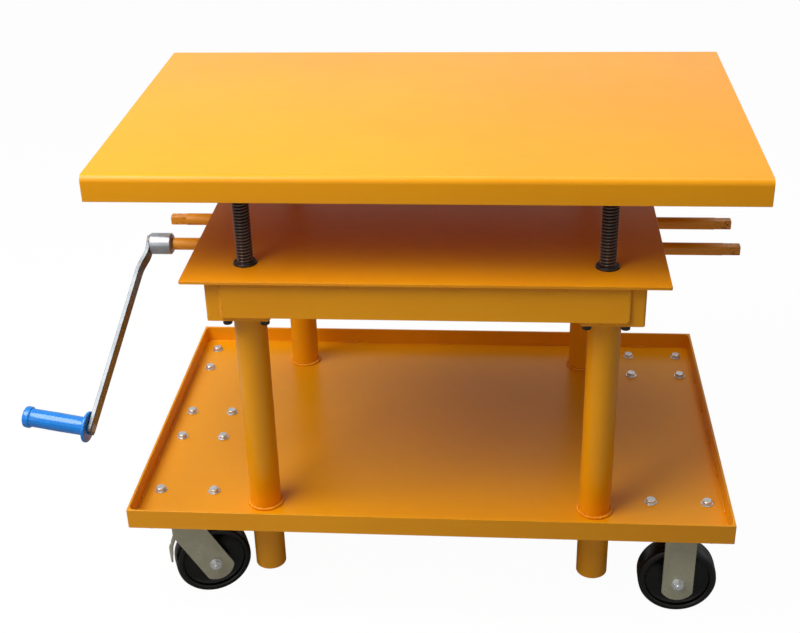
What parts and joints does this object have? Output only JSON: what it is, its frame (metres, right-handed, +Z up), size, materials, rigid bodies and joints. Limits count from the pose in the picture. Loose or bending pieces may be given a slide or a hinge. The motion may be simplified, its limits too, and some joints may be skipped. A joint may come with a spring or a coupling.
{
  "type": "lift table",
  "caption": "Mobile mechanical post lift table: crank-driven screw posts raise a flat deck over a tray base on casters with a floor lock.",
  "frame": {"origin": "on the floor under the middle of the table's outline, crank included", "axes": "+X along the table to the end without the crank, +Y to the back, +Z up"},
  "size_m": [1.4174, 0.8082, 0.984],
  "materials": {
    "orange_paint": "glossy orange paint on steel",
    "black_steel": "black oiled steel",
    "zinc_plate": "zinc plated steel",
    "bright_steel": "turned bare steel",
    "bronze": "machined bronze",
    "blue_plastic": "glossy blue plastic",
    "black_rubber": "solid black rubber"
  },
  "bodies": {
    "frame": {"top_plate": "orange_paint", "frame_end_left": "orange_paint", "frame_end_right": "orange_paint", "frame_bar_front": "orange_paint", "frame_bar_back": "orange_paint", "gear_cross_bar": "orange_paint", "roller_chain": "black_steel", "thrust_bearing_front_left": "bright_steel", "thrust_bearing_front_right": "bright_steel", "thrust_bearing_back_left": "bright_steel", "thrust_bearing_back_right": "bright_steel", "leg_front_left": "orange_paint", "leg_front_right": "orange_paint", "leg_back_left": "orange_paint", "leg_back_right": "orange_paint", "tray": "orange_paint", "swivel_plate_front": "zinc_plate", "swivel_plate_back": "zinc_plate", "rigid_fork_front": "zinc_plate", "rigid_fork_back": "zinc_plate", "rigid_axle_front": "zinc_plate", "rigid_axle_back": "zinc_plate", "floor_lock_bracket": "zinc_plate"},
    "lift_deck": {"deck": "orange_paint", "deck_rail_left": "orange_paint", "deck_rail_right": "orange_paint", "lift_screw_front_left": "black_steel", "lift_screw_front_right": "black_steel", "lift_screw_back_left": "black_steel", "lift_screw_back_right": "black_steel"},
    "front_crank_shaft": {"crank_shaft_front": "orange_paint", "bevel_pinion_front": "bright_steel", "crank_arm": "zinc_plate"},
    "grip": {"crank_grip": "blue_plastic"},
    "back_crank_shaft": {"crank_shaft_back": "orange_paint", "bevel_pinion_back": "bright_steel"},
    "front_jackshaft": {"jackshaft_front": "bright_steel", "bevel_gear_front": "bright_steel"},
    "back_jackshaft": {"jackshaft_back": "bright_steel", "bevel_gear_back": "bright_steel"},
    "nut_front_left": {"lift_nut_front_left": "bronze", "nut_sprocket_front_left": "black_steel"},
    "nut_front_right": {"lift_nut_front_right": "bronze", "nut_sprocket_front_right": "black_steel"},
    "nut_back_left": {"lift_nut_back_left": "bronze", "nut_sprocket_back_left": "black_steel"},
    "nut_back_right": {"lift_nut_back_right": "bronze", "nut_sprocket_back_right": "black_steel"},
    "swivel_front": {"swivel_fork_front": "zinc_plate", "swivel_axle_front": "zinc_plate"},
    "left_wheel_front": {"swivel_wheel_front": "black_rubber"},
    "brake_front": {"wheel_brake_front": "zinc_plate"},
    "right_wheel_front": {"rigid_wheel_front": "black_rubber"},
    "swivel_back": {"swivel_fork_back": "zinc_plate", "swivel_axle_back": "zinc_plate"},
    "left_wheel_back": {"swivel_wheel_back": "black_rubber"},
    "brake_back": {"wheel_brake_back": "zinc_plate"},
    "right_wheel_back": {"rigid_wheel_back": "black_rubber"},
    "lock_foot": {"floor_lock_foot": "black_rubber"},
    "lock_pedal": {"floor_lock_pedal": "zinc_plate"}
  },
  "joints": [
    {"name": "crank_turn", "type": "hinge", "parent": "frame", "child": "front_crank_shaft", "pos_m": [0.0872, -0.05273, 0.7053], "axis": [1, 0, 0], "range_deg": [-11489, 23055]},
    {"name": "back_shaft_turn", "type": "hinge", "parent": "frame", "child": "back_crank_shaft", "pos_m": [0.0872, 0.07427, 0.7053], "axis": [1, 0, 0], "range_deg": [-22978.07, 46110.07]},
    {"name": "front_jackshaft_turn", "type": "hinge", "parent": "frame", "child": "front_jackshaft", "pos_m": [0.0872, -0.05273, 0.7053], "axis": [0, 0, 1], "range_deg": [-11489.03, 23055.03]},
    {"name": "back_jackshaft_turn", "type": "hinge", "parent": "frame", "child": "back_jackshaft", "pos_m": [0.0872, 0.07427, 0.7053], "axis": [0, 0, 1], "range_deg": [-11489.03, 23055.03]},
    {"name": "nut_turn_front_left", "type": "hinge", "parent": "frame", "child": "nut_front_left", "pos_m": [-0.2528, -0.28663, 0.7086], "axis": [0, 0, 1], "range_deg": [-17291.28, 8616.78]},
    {"name": "nut_turn_front_right", "type": "hinge", "parent": "frame", "child": "nut_front_right", "pos_m": [0.4272, -0.28663, 0.7086], "axis": [0, 0, 1], "range_deg": [-17291.28, 8616.78]},
    {"name": "nut_turn_back_left", "type": "hinge", "parent": "frame", "child": "nut_back_left", "pos_m": [-0.2528, 0.30817, 0.7086], "axis": [0, 0, 1], "range_deg": [-17291.28, 8616.78]},
    {"name": "nut_turn_back_right", "type": "hinge", "parent": "frame", "child": "nut_back_right", "pos_m": [0.4272, 0.30817, 0.7086], "axis": [0, 0, 1], "range_deg": [-17291.28, 8616.78]},
    {"name": "deck_lift", "type": "slide", "parent": "frame", "child": "lift_deck", "axis": [0, 0, 1], "range_m": [-0.15199, 0.305]},
    {"name": "grip_spin", "type": "hinge", "parent": "front_crank_shaft", "child": "grip", "pos_m": [-0.5688, -0.37423, 0.45411], "axis": [0.989, -0.1166, -0.0911], "continuous": true},
    {"name": "swivel_turn_front", "type": "hinge", "parent": "frame", "child": "swivel_front", "pos_m": [-0.4263, -0.30423, 0.1997], "axis": [0, 0, 1], "continuous": true},
    {"name": "left_wheel_spin_front", "type": "hinge", "parent": "swivel_front", "child": "left_wheel_front", "pos_m": [-0.37994, -0.28549, 0.08], "axis": [-0.3746, 0.9272, 0], "continuous": true},
    {"name": "brake_press_front", "type": "hinge", "parent": "swivel_front", "child": "brake_front", "pos_m": [-0.44484, -0.31172, 0.16], "axis": [0.3746, -0.9272, 0], "range_deg": [0, 4]},
    {"name": "right_wheel_spin_front", "type": "hinge", "parent": "frame", "child": "right_wheel_front", "pos_m": [0.6007, -0.30423, 0.08], "axis": [0, 1, 0], "continuous": true},
    {"name": "swivel_turn_back", "type": "hinge", "parent": "frame", "child": "swivel_back", "pos_m": [-0.4263, 0.30278, 0.1997], "axis": [0, 0, 1], "continuous": true},
    {"name": "left_wheel_spin_back", "type": "hinge", "parent": "swivel_back", "child": "left_wheel_back", "pos_m": [-0.37994, 0.3215, 0.08], "axis": [-0.3746, 0.9272, 0], "continuous": true},
    {"name": "brake_press_back", "type": "hinge", "parent": "swivel_back", "child": "brake_back", "pos_m": [-0.44484, 0.29528, 0.16], "axis": [0.3746, -0.9272, 0], "range_deg": [0, 4]},
    {"name": "right_wheel_spin_back", "type": "hinge", "parent": "frame", "child": "right_wheel_back", "pos_m": [0.6007, 0.30278, 0.08], "axis": [0, 1, 0], "continuous": true},
    {"name": "lock_pedal_press", "type": "hinge", "parent": "frame", "child": "lock_pedal", "pos_m": [-0.397, 0.00077, 0.172], "axis": [0, -1, 0], "range_deg": [0, 24]},
    {"name": "lock_foot_drop", "type": "slide", "parent": "frame", "child": "lock_foot", "axis": [0, 0, -1], "range_m": [0, 0.018]}
  ],
  "couplings": [
    {"joint": "back_shaft_turn", "follows": "crank_turn", "ratio": 2},
    {"joint": "front_jackshaft_turn", "follows": "crank_turn", "ratio": 1},
    {"joint": "back_jackshaft_turn", "follows": "crank_turn", "ratio": 1},
    {"joint": "nut_turn_front_left", "follows": "crank_turn", "ratio": -0.75},
    {"joint": "nut_turn_front_right", "follows": "crank_turn", "ratio": -0.75},
    {"joint": "nut_turn_back_left", "follows": "crank_turn", "ratio": -0.75},
    {"joint": "nut_turn_back_right", "follows": "crank_turn", "ratio": -0.75},
    {"joint": "deck_lift", "follows": "crank_turn", "m_per_rad": 0.00075798},
    {"joint": "lock_foot_drop", "follows": "lock_pedal_press", "m_per_rad": 0.042972}
  ]
}
